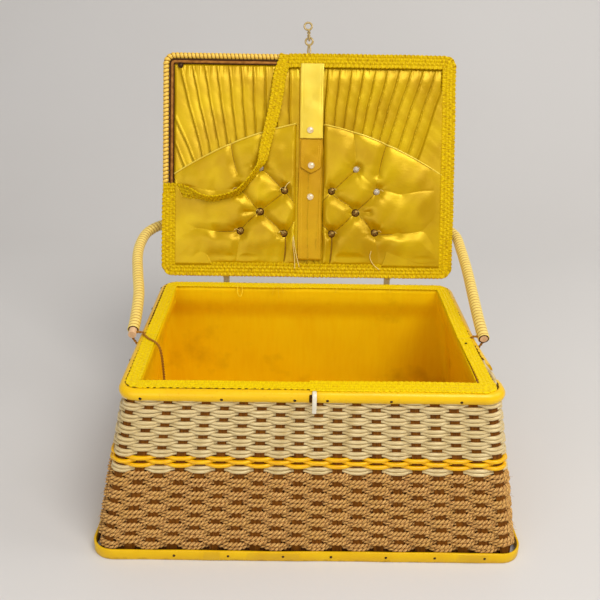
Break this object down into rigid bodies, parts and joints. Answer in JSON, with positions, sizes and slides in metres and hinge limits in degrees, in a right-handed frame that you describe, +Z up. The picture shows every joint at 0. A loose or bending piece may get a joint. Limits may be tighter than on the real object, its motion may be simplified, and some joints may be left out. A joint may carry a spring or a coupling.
{
  "type": "sewing basket",
  "caption": "Woven sewing basket with flared sides, a hinged lid lined in tufted satin with pockets and strap, a wrapped bail handle and a front closure loop.",
  "frame": {"origin": "centre of the base on the surface the basket stands on", "axes": "+X to the right, +Y to the back where the lid is hinged, +Z up; the lid is stored open"},
  "size_m": [0.39, 0.3651, 0.4448],
  "materials": {
    "yellow_vinyl": "glossy",
    "yellow_braid": "woven",
    "cream_vinyl": "satin",
    "wrap_vinyl": "glossy",
    "white_vinyl": "satin",
    "seagrass": "twisted fibre",
    "stake_fibre": "stained",
    "fibreboard": "raw",
    "wood": "raw",
    "lining": "satin weave",
    "satin": "satin",
    "twine": "twisted",
    "steel": "tarnished",
    "pearl": "pearlised"
  },
  "bodies": {
    "basket": {"base_board": "fibreboard", "bottom_band": "yellow_vinyl", "stake_cage": "stake_fibre", "wall_board": "fibreboard", "seagrass_weave": "seagrass", "cream_weave_lower": "cream_vinyl", "yellow_weave_band": "yellow_vinyl", "cream_weave_upper": "cream_vinyl", "rim_cane": "yellow_vinyl", "rim_rail": "wood", "rim_braid": "yellow_braid", "lining_front": "lining", "lining_back": "lining", "lining_left": "lining", "lining_right": "lining", "lining_floor": "lining", "closure_peg": "white_vinyl", "hinge_loop_left": "white_vinyl", "hinge_loop_right": "white_vinyl", "tie_cord_left": "twine", "tie_cord_right": "twine", "tie_cord_tail": "twine", "rim_nail_1": "steel", "rim_nail_2": "steel", "rim_nail_3": "steel", "rim_nail_4": "steel", "rim_nail_5": "steel", "rim_nail_6": "steel"},
    "handle": {"handle_core": "wood", "handle_wrap": "wrap_vinyl"},
    "lid": {"lid_rod": "wrap_vinyl", "lid_board": "fibreboard", "lid_weave": "cream_vinyl", "lid_satin": "satin", "lid_braid": "yellow_braid", "loose_braid": "yellow_braid", "pocket_left": "satin", "pocket_right": "satin", "strap_back": "satin", "strap_front": "satin", "snap_cap_top": "pearl", "snap_cap_bottom": "pearl", "lid_tack_top": "steel", "lid_tack_side": "steel", "closure_eye": "cream_vinyl", "tuft_left_1": "steel", "tuft_left_2": "steel", "tuft_left_3": "steel", "tuft_left_4": "steel", "tuft_left_5": "steel", "tuft_left_6": "steel", "tuft_right_1": "steel", "tuft_right_2": "steel", "tuft_right_3": "steel", "tuft_right_4": "steel", "tuft_right_5": "steel", "tuft_right_6": "steel"},
    "strap_end": {"strap_tab": "satin", "snap_cap_tab": "pearl"},
    "closure_link": {"closure_loop": "cream_vinyl"}
  },
  "joints": [
    {"name": "lid_hinge", "type": "hinge", "parent": "basket", "child": "lid", "pos_m": [0, 0.1249, 0.1789], "axis": [1, 0, 0], "range_deg": [0, 110.7]},
    {"name": "handle_swing", "type": "hinge", "parent": "basket", "child": "handle", "pos_m": [0, -0.015, 0.17065], "axis": [1, 0, 0], "range_deg": [-25, 6]},
    {"name": "strap_tab_lift", "type": "hinge", "parent": "lid", "child": "strap_end", "pos_m": [0.003, 0.17289, 0.32272], "axis": [-1, 0, 0], "range_deg": [0, 100]},
    {"name": "closure_loop_swing", "type": "hinge", "parent": "lid", "child": "closure_link", "pos_m": [-0.001, 0.21892, 0.42773], "axis": [1, 0, 0], "range_deg": [-60, 90]}
  ]
}
